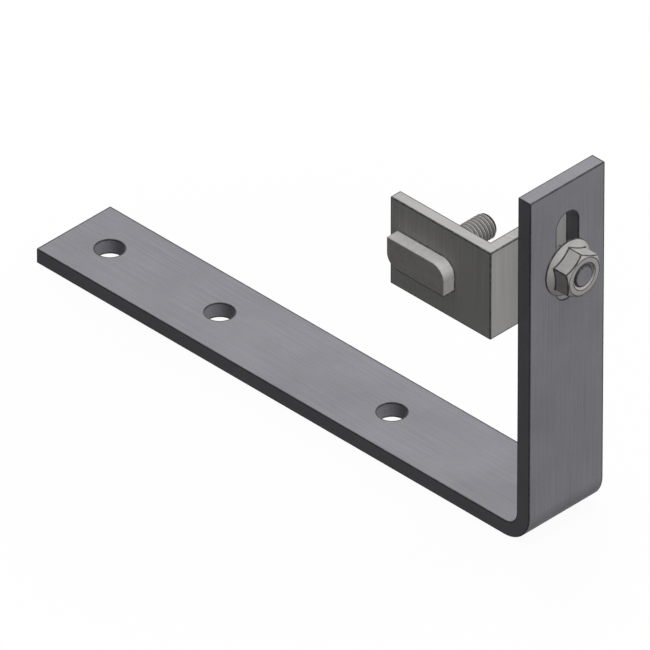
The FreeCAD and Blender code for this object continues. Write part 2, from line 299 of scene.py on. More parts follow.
@dataclass(frozen=True)
class PickledFlatBar(Finish):
    """Stainless flat bar, hot rolled and pickled, and slit to width before it was bent.

    The rolls leave soft lines along the bar, and the acid a matt grit with faint clouds. The long
    side faces are darkened with painted shade, broken by short marks across the thickness.
    """

    node: str = "hook_strap"
    thickness: float = 5 * MM
    inner_radius: float = 5 * MM
    slot_length: float = 30 * MM
    slot_width: float = 9 * MM
    slot_top_margin: float = 10 * MM
    rounding: float = 0.2 * MM
    # Slitting and cropping leave more burr, and so a wider worn line, at +Y and the free end.
    burr_shift: float = 0.1 * MM
    # Roll lines, grit and the marks across the side faces are some 0.1 mm across, drawn coarser so
    # that they show.
    line_width: float = 0.5 * MM
    line_length: float = 30 * MM
    grit: float = 0.5 * MM
    slit_mark: float = 0.5 * MM
    cloud: float = 22 * MM
    # The painted shade on the bar's two long side faces.
    slit_tone: str = "#707074"
    # How strong the painted side shade is between its marks, and the shares of grit and clouds in
    # the grain.
    slit_faint: float = 0.8
    grit_share: float = 0.4
    cloud_share: float = 0.35

    def bend_centre(self) -> Vector:
        """The centre of the bend, from the strap's box.

        Returns:
            Its place, in the middle of the strap's width.
        """
        low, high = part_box(self.node)
        radius = self.inner_radius + self.thickness
        return Vector((high.x - radius, 0.0, low.z + radius))

    def middle_radius(self) -> float:
        """The bend's radius at the middle of the thickness, where the bar keeps its length."""
        return self.inner_radius + self.thickness / 2

    def laid_flat(self, height: float) -> float:
        """How far along the bar, laid flat, a height on the upright leg lies."""
        bend = self.bend_centre()
        return bend.x + self.middle_radius() * math.pi / 2 + height - bend.z

    def openings(self) -> list[Opening]:
        """The screw holes, as the record's mounts give them, and the slot.

        Returns:
            The openings, placed along the bar laid flat.
        """
        bores = [mount for mount in frame["record"]["mounts"] if mount["kind"] == "bore"]
        holes = [Opening(bore["pos_m"][0], 0.0, bore["dims"]["r_mm"] * MM) for bore in bores]
        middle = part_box(self.node)[1].z - self.slot_top_margin - self.slot_length / 2
        radius = self.slot_width / 2
        return holes + [Opening(self.laid_flat(middle), self.slot_length / 2 - radius, radius)]

    def lay_out(self, tree: Tree) -> Value:
        """Lays the bar flat: X along it from the origin, Y across it, Z deep from its outer side.

        Args:
            tree: The material's tree.

        Returns:
            The node whose output is the flat place.
        """
        add = partial(add_node, tree)
        bend = self.bend_centre()
        place = add("ShaderNodeTexCoord").outputs["Object"]
        from_bend = add(VECTOR_MATH, {0: place, 1: bend}, operation="SUBTRACT")
        # Outwards is +X on the upright leg and -Z on the base leg.
        outwards = add(VECTOR_MATH, {0: from_bend, 1: (1.0, 0.0, -1.0)}, operation="MULTIPLY")
        past = add(VECTOR_MATH, {0: outwards, 1: (0.0, 0.0, 0.0)}, operation="MAXIMUM")
        reach = add(VECTOR_MATH, {0: past}, operation="LENGTH").outputs["Value"]
        outer_radius = self.inner_radius + self.thickness
        depth = add(MATH, {0: outer_radius, 1: reach}, operation="SUBTRACT")
        # The way along is both straight legs and, between them, the turn round the bend.
        legs = add(VECTOR_MATH, {0: outwards, 1: (0.0, 0.0, 0.0)}, operation="MINIMUM")
        straight = add(VECTOR_MATH, {0: legs, 1: (1.0, 0.0, -1.0)}, operation="DOT_PRODUCT")
        sides = add(SPLIT, {0: past}).outputs
        sweep = add(MATH, {0: sides["X"], 1: sides["Z"]}, operation="ARCTAN2")
        turned = add(MATH, {0: sweep, 1: self.middle_radius(), 2: bend.x}, operation="MULTIPLY_ADD")
        along = add(MATH, {0: turned, 1: straight.outputs["Value"]}, operation="ADD")
        across = add(SPLIT, {0: place}).outputs["Y"]
        return add(JOIN, {0: along, 1: across, 2: depth})

    def grain(self, tree: Tree, place: Value) -> Value:
        """Rolling lines that follow the bar round its bend, grit and clouds.

        Args:
            tree: The material's tree.
            place: Where a point lies, as lay_out gives it.

        Returns:
            The node whose output is the pattern.
        """
        add = partial(add_node, tree)
        lines = streaks(tree, place, (self.line_length, self.line_width, self.line_width))
        grit = add(NOISE, {"Vector": place, "Scale": 1 / self.grit, "Detail": 2.0})
        look = {"Vector": place, "Scale": 1 / self.cloud, "Detail": 4.0, "Roughness": 0.6}
        clouds = add(NOISE, look)
        fine = add(MIX, {0: self.grit_share, 2: lines, 3: grit}, data_type="FLOAT")
        return add(MIX, {0: self.cloud_share, 2: fine, 3: clouds}, data_type="FLOAT")

    def edges(self, tree: Tree, place: Value) -> Value:
        """The rounded edges of the bar, and the rims of its holes and slot.

        Args:
            tree: The material's tree.
            place: Where a point lies, as lay_out gives it.

        Returns:
            The node whose output is 1 on an edge and 0 away from it.
        """
        add = partial(add_node, tree)
        low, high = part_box(self.node)
        top = self.laid_flat(high.z)
        half = Vector((top - low.x, high.y - low.y, self.thickness)) / 2
        shift = self.burr_shift
        centre = Vector((low.x + half.x + shift, low.y + half.y - shift, half.z))
        nearest, over_faces = box_edges(tree, place, centre, half)

        for opening in self.openings():
            middle, stretch = (opening.centre, 0.0, 0.0), (opening.half_length, 0.0, 0.0)
            from_middle = add(VECTOR_MATH, {0: place, 1: middle}, operation="SUBTRACT")
            level = add(VECTOR_MATH, {0: from_middle, 1: (1.0, 1.0, 0.0)}, operation="MULTIPLY")
            beside = add(VECTOR_MATH, {0: level}, operation="ABSOLUTE")
            shortened = add(VECTOR_MATH, {0: beside, 1: stretch}, operation="SUBTRACT")
            outside = add(VECTOR_MATH, {0: shortened, 1: (0.0, 0.0, 0.0)}, operation="MAXIMUM")
            reach = add(VECTOR_MATH, {0: outside}, operation="LENGTH").outputs["Value"]
            # The line starts a little inside the wall, so that it makes the opening no wider.
            wall = opening.radius - self.rounding / 2
            inside = add(MATH, {0: wall, 1: reach}, operation="SUBTRACT")
            rim = add(MATH, {0: inside, 1: over_faces}, operation="MINIMUM")
            nearest = add(MATH, {0: nearest, 1: rim}, operation="MAXIMUM")
        return self.worn_line(tree, nearest)

    def recolour(self, tree: Tree, place: Value, colour: Value) -> Value:
        """Darkens the bar's two long side faces with painted shade, with marks across their
        thickness.

        Args:
            tree: The material's tree.
            place: Where a point lies, as lay_out gives it.
            colour: The colour so far.

        Returns:
            The changed colour.
        """
        add = partial(add_node, tree)
        sides = add(SPLIT, {0: place}).outputs
        beside = add(MATH, {0: sides["Y"]}, operation="ABSOLUTE")
        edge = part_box(self.node)[1].y
        # Painted shade: the two long side faces are darker.
        limits = {0: beside, 1: edge - self.rounding / 2, 2: edge - self.rounding / 8}
        on_slit = add(MAP_RANGE, limits)
        look = {"W": sides["X"], "Scale": 1 / self.slit_mark, "Detail": 2.0}
        marks = add(NOISE, look, noise_dimensions="1D")
        low, high = self.grain_range
        sheared = add(MAP_RANGE, {0: marks, 1: low, 2: high, 3: self.slit_faint, 4: 1.0})
        share = add(MATH, {0: on_slit, 1: sheared}, operation="MULTIPLY")
        toned = add(MIX, {0: share, 6: colour, 7: linear(self.slit_tone)}, data_type="RGBA")
        return toned.outputs[2]


@dataclass(frozen=True)
class ExtrudedAluminium(Finish):
    """Aluminium angle as it leaves the die: fine lines down it, and saw arcs on its ends."""

    node: str = "clamp_angle"
    thickness: float = 4 * MM
    # Die lines are some 0.05 mm wide and saw marks 0.2 mm, both drawn coarser so that they show.
    line_width: float = 0.45 * MM
    line_length: float = 40 * MM
    saw_pitch: float = 0.7 * MM
    saw_radius: float = 150 * MM
    cloud: float = 14 * MM
    cloud_share: float = 0.25

    def lay_out(self, tree: Tree) -> Value:
        """Lays the angle out: X from its outer corner to the toes, Y up it, Z deep from outside.

        Args:
            tree: The material's tree.

        Returns:
            The node whose output is that place.
        """
        add = partial(add_node, tree)
        low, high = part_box(self.node)
        sides = add(SPLIT, {0: add("ShaderNodeTexCoord").outputs["Object"]}).outputs
        under_strap_face = add(MATH, {0: high.x, 1: sides["X"]}, operation="SUBTRACT")
        under_rail_face = add(MATH, {0: sides["Y"], 1: low.y}, operation="SUBTRACT")
        reach = add(MATH, {0: under_strap_face, 1: under_rail_face}, operation="MAXIMUM")
        depth = add(MATH, {0: under_strap_face, 1: under_rail_face}, operation="MINIMUM")
        return add(JOIN, {0: reach, 1: sides["Z"], 2: depth})

    def grain(self, tree: Tree, place: Value) -> Value:
        """Die lines up the faces, and on the sawn ends the arcs of the blade.

        Args:
            tree: The material's tree.
            place: Where a point lies, as lay_out gives it.

        Returns:
            The node whose output is the pattern.
        """
        add = partial(add_node, tree)
        lines = streaks(tree, place, (self.line_width, self.line_length, self.line_width))

        spot = add("ShaderNodeTexCoord").outputs
        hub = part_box(self.node)[0] + Vector((0.0, self.saw_radius, 0.0))
        from_hub = add(VECTOR_MATH, {0: spot["Object"], 1: hub}, operation="SUBTRACT")
        level = add(VECTOR_MATH, {0: from_hub, 1: (1.0, 1.0, 0.0)}, operation="MULTIPLY")
        radius = add(VECTOR_MATH, {0: level}, operation="LENGTH").outputs["Value"]
        look = {"W": radius, "Scale": 1 / self.saw_pitch, "Detail": 2.0}
        arcs = add(NOISE, look, noise_dimensions="1D")

        up = add(SPLIT, {0: spot["Normal"]}).outputs["Z"]
        on_end = add(MATH, {0: up, 1: up}, operation="MULTIPLY")
        marks = add(MIX, {0: on_end, 2: lines, 3: arcs}, data_type="FLOAT")
        clouds = add(NOISE, {"Vector": spot["Object"], "Scale": 1 / self.cloud, "Detail": 4.0})
        return add(MIX, {0: self.cloud_share, 2: marks, 3: clouds}, data_type="FLOAT")

    def edges(self, tree: Tree, place: Value) -> Value:
        """The outer corner, the toes of both legs and the sawn ends.

        Args:
            tree: The material's tree.
            place: Where a point lies, as lay_out gives it.

        Returns:
            The node whose output is 1 on an edge and 0 away from it.
        """
        low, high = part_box(self.node)
        half = Vector((high.x - low.x, high.z - low.z, self.thickness)) / 2
        centre = Vector((half.x, low.z + half.y, half.z))
        nearest, _ = box_edges(tree, place, centre, half)
        return self.worn_line(tree, nearest)


@dataclass(frozen=True)
class FormedStainless(Finish):
    """Stainless fasteners, cold formed: smooth, with small clouds and faint rings round the axis.

    The thread was rolled. Its roots and its tip are darkened with painted shade, so the crests
    stand out bright.
    """

    # The tone of the painted shade in the thread's roots and on its tip.
    root: str = "#403F3D"
    # Turning rings and grit are some 0.1 mm across, drawn coarser so that they show.
    ring_pitch: float = 0.4 * MM
    grit: float = 0.5 * MM
    cloud: float = 3.5 * MM
    ring_share: float = 0.35
    cloud_share: float = 0.4
    # How far up the thread the painted shade reaches, as a share of its height, and how strong it
    # is at the root.
    film_height: float = 0.45
    film_strength: float = 0.95

    def grain(self, tree: Tree, place: Value) -> Value:
        """Grit, small clouds, and rings round the axis.

        Args:
            tree: The material's tree.
            place: Where a point lies, as lay_out gives it.

        Returns:
            The node whose output is the pattern.
        """
        add = partial(add_node, tree)
        radius = add(ATTRIBUTE, attribute_name="axis_distance").outputs["Fac"]
        look = {"W": radius, "Scale": 1 / self.ring_pitch, "Detail": 1.0}
        rings = add(NOISE, look, noise_dimensions="1D")
        grit = add(NOISE, {"Vector": place, "Scale": 1 / self.grit, "Detail": 2.0})
        clouds = add(NOISE, {"Vector": place, "Scale": 1 / self.cloud, "Detail": 3.0})
        fine = add(MIX, {0: self.ring_share, 2: grit, 3: rings}, data_type="FLOAT")
        return add(MIX, {0: self.cloud_share, 2: fine, 3: clouds}, data_type="FLOAT")

    def edges(self, tree: Tree, place: Value) -> Value:
        """The rounded edges, which the mesh marks."""
        return add_node(tree, ATTRIBUTE, attribute_name="rounded").outputs["Fac"]

    def recolour(self, tree: Tree, place: Value, colour: Value) -> Value:
        """Darkens the thread's roots and its tip with painted shade.

        Args:
            tree: The material's tree.
            place: Not used.
            colour: The colour so far.

        Returns:
            The changed colour.
        """
        add = partial(add_node, tree)
        height = add(ATTRIBUTE, attribute_name="thread_height").outputs["Fac"]
        limits = {0: height, 1: self.film_height, 2: 0.0, 3: 0.0, 4: self.film_strength}
        film = add(MAP_RANGE, limits)
        return add(MIX, {0: film, 6: colour, 7: linear(self.root)}, data_type="RGBA").outputs[2]


# Dull blue grey with soft streaks along the bar, as acid leaves rolled stainless steel.
STRAP_FINISH = PickledFlatBar(
    name="stainless_steel_hot_rolled_pickled", light="#99989E", dark="#807F85", edge="#333336"
)
# Pale and neutral, with straight fine lines: aluminium straight from the die, not anodised.
ANGLE_FINISH = ExtrudedAluminium(
    name="aluminium_extruded_mill_finish", light="#BCBBBA", dark="#AAA9A8", edge="#3F3F3F"
)
# Paler and slightly warm, smooth and cloudy: stainless fasteners, formed cold and tumbled.
FASTENER_FINISH = FormedStainless(
    name="stainless_steel_cold_formed", light="#C1BFBD", dark="#A9A7A5", edge="#2E2D2C"
)
# The slot bolt has the strap's blue grey in the photograph, so its tumbled skin is duller.
SLOT_BOLT_FINISH = replace(
    FASTENER_FINISH,
    name="stainless_steel_cold_formed_dull",
    light="#96959A",
    dark="#828186",
    edge="#28282A",
    root="#3C3C3F",
)


# Threads


def carry(data: Mesh | bpy.types.Light | bpy.types.Camera) -> Object:
    """Puts a mesh, a lamp or a lens on an object in the scene.

    Args:
        data: What the object carries, and whose name it takes.

    Returns:
        The object.
    """
    carrier = bpy.data.objects.new(data.name, data)
    bpy.context.scene.collection.objects.link(carrier)
    return carrier


def take_mesh(carrier: Object) -> Mesh:
    """Takes an object's mesh as its modifiers leave it.

    Args:
        carrier: The object, which is removed with its own mesh.

    Returns:
        The plain mesh.
    """
    seen = carrier.evaluated_get(bpy.context.evaluated_depsgraph_get())
    mesh = bpy.data.meshes.new_from_object(seen)
    name = carrier.data.name
    bpy.data.meshes.remove(carrier.data)
    mesh.name = name
    return mesh


class ThreadSkin:
    """The Geometry Nodes tree of a thread: a sheet with rows along the helix and level ends.

    Its crest crosses the fastener's local X axis at whole pitches above the origin, so a bolt's
    thread and its nut's, made about one axis, run in the same grooves.
    """

    RADII = ("Crest Radius", "Root Radius", "Blank Radius", "Tip Radius", "Mouth Radius")
    LENGTHS = ("Start", "End", "Pitch", "Run In")
    SHARES = ("First Turn", "First Angle", "Crest Flat", "Root Flat")
    COUNTS = ("Turns", "Rows", "Sides")
    INPUTS = {
        **dict.fromkeys(RADII + LENGTHS + SHARES, "NodeSocketFloat"),
        **dict.fromkeys(COUNTS, "NodeSocketInt"),
        "Faces Outwards": "NodeSocketBool",
        "Material": "NodeSocketMaterial",
    }

    def __init__(self) -> None:
        """Builds the tree once; each thread then sets its own inputs."""
        self.tree = bpy.data.node_groups.new("thread_skin", "GeometryNodeTree")
        interface = self.tree.interface
        self.sockets = {
            name: interface.new_socket(name, in_out="INPUT", socket_type=kind).identifier
            for name, kind in self.INPUTS.items()
        }
        interface.new_socket("Geometry", in_out="OUTPUT", socket_type="NodeSocketGeometry")
        self._wire()

    def _wire(self) -> None:
        """Lays out the nodes."""
        add = partial(add_node, self.tree)
        given = add("NodeGroupInput").outputs
        rows = add(MATH, {0: given["Turns"], 1: given["Rows"]}, operation="MULTIPLY")
        row_points = add(MATH, {0: rows, 1: 1.0}, operation="ADD")
        side_points = add(MATH, {0: given["Sides"], 1: 1.0}, operation="ADD")
        sheet = add(
            "GeometryNodeMeshGrid",
            {"Size X": 1.0, "Size Y": 1.0, "Vertices X": row_points, "Vertices Y": side_points},
        )

        # The sheet's X is the climb in turns, and its Y the way round.
        place = add(SPLIT, {0: add("GeometryNodeInputPosition")}).outputs
        around = add(MATH, {0: place["Y"], 1: 0.5}, operation="ADD")
        first = given["First Angle"]
        angle = add(MATH, {0: around, 1: math.tau, 2: first}, operation="MULTIPLY_ADD")
        turn = add(MATH, {0: angle, 1: math.tau}, operation="DIVIDE")
        climb_share = add(MATH, {0: place["X"], 1: 0.5}, operation="ADD")
        climb = add(MATH, {0: climb_share, 1: given["Turns"]}, operation="MULTIPLY")
        from_first = add(MATH, {0: climb, 1: given["First Turn"]}, operation="ADD")
        lead = add(MATH, {0: from_first, 1: turn}, operation="ADD")
        free_height = add(MATH, {0: lead, 1: given["Pitch"]}, operation="MULTIPLY")
        not_below = add(MATH, {0: free_height, 1: given["Start"]}, operation="MAXIMUM")
        height = add(MATH, {0: not_below, 1: given["End"]}, operation="MINIMUM")

        # The profile: 1 on the crest's flat, 0 on the root's, straight between them.
        nudged = add(MATH, {0: climb, 1: SAME_POINT}, operation="ADD")
        phase = add(MATH, {0: nudged}, operation="FRACT")
        from_middle = add(MATH, {0: phase, 1: 0.5}, operation="SUBTRACT")
        distance = add(MATH, {0: from_middle}, operation="ABSOLUTE")
        from_root = add(MATH, {0: distance, 1: 2.0}, operation="MULTIPLY")
        crest_start = add(MATH, {0: 1.0, 1: given["Crest Flat"]}, operation="SUBTRACT")
        share = add(MAP_RANGE, {0: from_root, 1: given["Root Flat"], 2: crest_start})
        depth = add(MATH, {0: given["Crest Radius"], 1: given["Root Radius"]}, operation="SUBTRACT")
        full = add(MATH, {0: share, 1: depth, 2: given["Root Radius"]}, operation="MULTIPLY_ADD")

        # Near its start the thread runs out into the plain blank.
        above_start = add(MATH, {0: height, 1: given["Start"]}, operation="SUBTRACT")
        below_end = add(MATH, {0: given["End"], 1: height}, operation="SUBTRACT")
        limits = {0: above_start, 1: 0.0, 2: given["Run In"]}
        formed = add(MAP_RANGE, limits, interpolation_type="SMOOTHSTEP")
        blank = given["Blank Radius"]
        cut = add(MATH, {0: full, 1: blank}, operation="SUBTRACT")
        threaded = add(MATH, {0: cut, 1: formed, 2: blank}, operation="MULTIPLY_ADD")

        # A bolt's tip is a cone of 45 degrees, and so are both mouths of a nut.
        tip = add(MATH, {0: given["Tip Radius"], 1: below_end}, operation="ADD")
        tapered = add(MATH, {0: threaded, 1: tip}, operation="MINIMUM")
        from_mouth = add(MATH, {0: above_start, 1: below_end}, operation="MINIMUM")
        mouth = add(MATH, {0: given["Mouth Radius"], 1: from_mouth}, operation="SUBTRACT")
        radius = add(MATH, {0: tapered, 1: mouth}, operation="MAXIMUM")

        cosine = add(MATH, {0: angle}, operation="COSINE")
        sine = add(MATH, {0: angle}, operation="SINE")
        x = add(MATH, {0: radius, 1: cosine}, operation="MULTIPLY")
        y = add(MATH, {0: radius, 1: sine}, operation="MULTIPLY")
        wound = add(JOIN, {0: x, 1: y, 2: height})
        placed = add("GeometryNodeSetPosition", {"Geometry": sheet, "Position": wound})
        closed = add("GeometryNodeMergeByDistance", {"Geometry": placed, "Distance": SAME_POINT})
        flipped = add("GeometryNodeFlipFaces", {"Mesh": closed})
        facing = add(
            "GeometryNodeSwitch",
            {"Switch": given["Faces Outwards"], "False": closed, "True": flipped},
            input_type="GEOMETRY",
        )
        real = add("GeometryNodeRealizeInstances", {"Geometry": facing})
        painted = add("GeometryNodeSetMaterial", {"Geometry": real, "Material": given["Material"]})
        add("NodeGroupOutput", {"Geometry": painted})

    def make(self, **sizes: float | int | bool | Material) -> Mesh:
        """Makes one thread's skin.

        Args:
            **sizes: The tree's inputs, named with underscores in place of spaces.

        Returns:
            A plain mesh about the local Z axis, open at both ends.
        """
        carrier = carry(bpy.data.meshes.new("thread"))
        modifier = carrier.modifiers.new("thread", "NODES")
        modifier.node_group = self.tree
        for name, value in sizes.items():
            modifier[self.sockets[name.replace("_", " ").title()]] = value
        return take_mesh(carrier)


@dataclass(frozen=True)
class Thread:
    """A right-hand metric thread of 8 mm at its coarse pitch."""

    pitch: float = 1.25 * MM
    crest_radius: float = 4.0 * MM
    root_radius: float = 3.24 * MM
    blank_radius: float = 3.6 * MM
    tip_radius: float = 3.22 * MM
    run_in: float = 2.0 * MM
    clearance: float = 0.05 * MM
    mouth_radius: float = 4.25 * MM
    crest_flat: float = 0.17
    root_flat: float = 0.25
    rows_per_turn: int = 12

    def skin(
        self,
        tree: ThreadSkin,
        side: Side,
        start: float,
        end: float,
        finish: Material,
        angle: float = 0.0,
    ) -> Mesh:
        """Makes the thread between two heights.

        Args:
            tree: The thread's node tree.
            side: Whether it is a bolt's thread or a nut's.
            start: The lower end's height.
            end: The upper end's height.
            finish: Its material.
            angle: Where the first of its sides starts, in radians.

        Returns:
            The skin, open at both ends.
        """
        bolt = side is Side.BOLT
        first = math.floor(start / self.pitch - angle / math.tau) - 1
        looseness = 0.0 if bolt else self.clearance
        return tree.make(
            start=start,
            end=end,
            pitch=self.pitch,
            first_turn=float(first),
            turns=math.ceil(end / self.pitch - angle / math.tau) - first,
            rows=self.rows_per_turn,
            sides=SIDES,
            first_angle=angle,
            crest_radius=self.crest_radius + looseness,
            root_radius=self.root_radius + looseness,
            blank_radius=self.blank_radius,
            run_in=self.run_in if bolt else SAME_POINT,
            tip_radius=self.tip_radius if bolt else 1.0,
            mouth_radius=0.0 if bolt else self.mouth_radius,
            crest_flat=self.crest_flat,
            root_flat=self.root_flat,
            faces_outwards=bolt,
            material=finish,
        )


# Meshes of the fasteners


@dataclass
class Lathe:
    """Builds a closed form from rings of points about the local Z axis."""

    angle: float = 0.0
    form: bmesh.types.BMesh = field(default_factory=bmesh.new)

    def __post_init__(self) -> None:
        """Adds the mark that the finish shows as dark edge lines, worn or of painted shade."""
        self.form.faces.layers.float.new("rounded")

    def ring(
        self, radius: float | Callable[[float], float], height: float | Callable[[float], float]
    ) -> Ring:
        """Lays out one ring.

        Args:
            radius: The ring's radius, or a function that gives it from the angle.
            height: The ring's height, or a function that gives it from the angle.

        Returns:
            The ring's points.
        """
        points = []
        for side in range(SIDES):
            angle = self.angle + math.tau * side / SIDES
            r = radius(angle) if callable(radius) else radius
            z = height(angle) if callable(height) else height
            points.append(Vector((r * math.cos(angle), r * math.sin(angle), z)))
        return points

    def stack(self, rings: Sequence[Ring], worn: bool = False) -> None:
        """Joins rings with faces, each to the next. A ring of radius 0 closes in one point.

        Args:
            rings: The rings in order.
            worn: Whether the faces are marked as a worn edge.
        """
        mark = self.form.faces.layers.float["rounded"]
        made = []
        for points in rings:
            if max(point.xy.length for point in points) < SAME_POINT:
                made.append([self.form.verts.new(points[0])] * SIDES)
            else:
                made.append([self.form.verts.new(point) for point in points])
        for lower, upper in zip(made, made[1:]):
            for side in range(SIDES):
                after = (side + 1) % SIDES
                corners = dict.fromkeys((lower[side], lower[after], upper[after], upper[side]))
                self.form.faces.new(list(corners))[mark] = float(worn)

    def band(self, first: float, last: float, height: float, worn: bool = False) -> None:
        """Lays a level band of faces between two radii."""
        self.stack([self.ring(first, height), self.ring(last, height)], worn)

    def soften(
        self, width: float, wear: float = 1.0, where: Callable[[Vector], bool] = lambda middle: True
    ) -> None:
        """Rounds the sharp edges between two faces, and marks the rounding for the finish.

        Args:
            width: How far the rounding reaches from the edge.
            wear: How worn the finish shows the rounding, from 0 to 1.
            where: Whether an edge is rounded, from its middle. Without it, every edge is.
        """
        self.form.normal_update()
        sharp = [
            edge
            for edge in self.form.edges
            if edge.is_manifold
            and edge.calc_face_angle(0.0) > SHARP_ANGLE
            and where((edge.verts[0].co + edge.verts[1].co) / 2)
        ]
        made = bmesh.ops.bevel(
            self.form,
            geom=sharp,
            offset=width,
            segments=2,
            profile=0.5,
            affect="EDGES",
            clamp_overlap=True,
        )
        mark = self.form.faces.layers.float["rounded"]
        for face in made["faces"]:
            face[mark] = wear

    def add(self, mesh: Mesh) -> None:
        """Adds a mesh and drops its data."""
        self.form.from_mesh(mesh)
        bpy.data.meshes.remove(mesh)

    def close(self) -> None:
        """Welds what touches and turns every face outwards."""
        bmesh.ops.remove_doubles(self.form, verts=self.form.verts, dist=SAME_POINT)
        bmesh.ops.recalc_face_normals(self.form, faces=self.form.faces)
        gaps = sum(not edge.is_manifold for edge in self.form.edges)
        if gaps:
            log.warning("%d open edges", gaps)

    def mesh(self, name: str) -> Mesh:
        """Hands over the form.

        Args:
            name: The mesh's name.

        Returns:
            The mesh, still about the local Z axis.
        """
        made = bpy.data.meshes.new(name)
        self.form.to_mesh(made)
        self.form.free()
        return made


@dataclass(frozen=True)
class Hexagon:
    """The wrench hexagon with its corners taken off by a cone."""

    across_flats: float = 13.0 * MM
    chamfer_radius: float = 6.2 * MM
    chamfer_slope: float = math.tan(math.radians(30))

    def radius(self, angle: float) -> float:
        """The hexagon's radius at an angle from one of its corners."""
        sixth = math.tau / 6
        return self.across_flats / 2 / math.cos(angle % sixth - sixth / 2)

    def drop(self, angle: float) -> float:
        """How far below the face the cone leaves the hexagon, at an angle from a corner."""
        return (self.radius(angle) - self.chamfer_radius) * self.chamfer_slope


@dataclass(frozen=True)
class FlangeNut:
    """A flange nut: its seat at the bottom, the flange's cone running up to the hexagon."""

    hexagon: Hexagon = Hexagon()
    thread: Thread = Thread()
    height: float = 6.8 * MM
    flange_radius: float = 9.0 * MM
    rim_height: float = 0.35 * MM
    cone_slope: float = math.tan(math.radians(28))
    # How far the dark line on the rim runs in over the cone.
    rim_line: float = 0.2 * MM
    softening: float = 0.3 * MM

    def mesh(self, name: str, skin: ThreadSkin, finish: Material, seat: float, turn: float) -> Mesh:
        """Builds the nut.

        Args:
            name: The mesh's name.
            skin: The thread's node tree.
            finish: The nut's material.
            seat: The height of the seat on the bolt's axis.
            turn: How far the hexagon is turned, in radians.

        Returns:
            The mesh about the bolt's axis.
        """
        lathe = Lathe(turn)
        top = seat + self.height
        mouth = self.thread.mouth_radius
        rim = mouth + self.softening

        def outline(angle: float) -> float:
            """The hexagon's radius."""
            return self.hexagon.radius(angle - turn)

        def on_cone(radius: float) -> float:
            """The height of the flange's cone at a radius."""
            return seat + self.rim_height + (self.flange_radius - radius) * self.cone_slope

        def on_chamfer(angle: float) -> float:
            """The height at which the chamfer leaves the hexagon."""
            return top - self.hexagon.drop(angle - turn)

        line = self.flange_radius - self.rim_line
        lathe.stack(
            [
                lathe.ring(line, on_cone(line)),
                lathe.ring(outline, lambda angle: on_cone(outline(angle))),
                lathe.ring(outline, on_chamfer),
                lathe.ring(self.hexagon.chamfer_radius, top),
            ]
        )
        lathe.soften(self.softening)
        foot = lathe.ring(self.flange_radius, seat)
        edge = lathe.ring(self.flange_radius, seat + self.rim_height)
        lathe.stack([foot, edge, lathe.ring(line, on_cone(line))], worn=True)
        lathe.band(rim, self.flange_radius, seat)
        outer, inner = self.hexagon.chamfer_radius, self.hexagon.chamfer_radius - self.softening
        lathe.band(outer, inner, top, worn=True)
        lathe.band(inner, rim, top)
        for face in (seat, top):
            lathe.band(rim, mouth, face, worn=True)
        lathe.add(self.thread.skin(skin, Side.NUT, seat, top, finish, turn))
        lathe.close()
        return lathe.mesh(name)


@dataclass(frozen=True)
class Bolt:
    """A bolt with its head below height 0 and its thread from there to its tip."""

    head_height: float
    thread: Thread = Thread()
    softening: float = 0.25 * MM

    def add_head(self, lathe: Lathe) -> None:
        """Builds the head, open where the shank grows out of it."""
        raise NotImplementedError

    def mesh(self, name: str, skin: ThreadSkin, finish: Material, length: float) -> Mesh:
        """Builds the bolt.

        Args:
            name: The mesh's name.
            skin: The thread's node tree.
            finish: The bolt's material.
            length: The length from the head's bearing face to the tip.

        Returns:
            The mesh about its own axis.
        """
        lathe = Lathe()
        self.add_head(lathe)
        rim = self.thread.tip_radius - self.softening
        lathe.band(self.thread.tip_radius, rim, length, worn=True)
        lathe.band(rim, 0.0, length)
        lathe.add(self.thread.skin(skin, Side.BOLT, 0.0, length, finish))
        lathe.close()
        return lathe.mesh(name)


@dataclass(frozen=True)
class HexagonBolt(Bolt):
    """A bolt with a hexagon head and a washer face."""

    head_height: float = 5.3 * MM
    hexagon: Hexagon = Hexagon()
    washer_radius: float = 5.8 * MM
    washer_height: float = 0.4 * MM

    def add_head(self, lathe: Lathe) -> None:
        """Builds the hexagon head from its middle out and down to the shank.

        Args:
            lathe: What the head is built on.
        """
        face = -self.head_height
        outer, inner = self.hexagon.chamfer_radius, self.hexagon.chamfer_radius - self.softening
        lathe.band(0.0, inner, face)
        lathe.band(inner, outer, face, worn=True)
        lathe.stack(
            [
                lathe.ring(outer, face),
                lathe.ring(self.hexagon.radius, lambda angle: face + self.hexagon.drop(angle)),
                lathe.ring(self.hexagon.radius, -self.washer_height),
                lathe.ring(self.washer_radius, -self.washer_height),
                lathe.ring(self.washer_radius, 0.0),
                lathe.ring(self.thread.blank_radius, 0.0),
            ]
        )
        lathe.soften(self.softening)


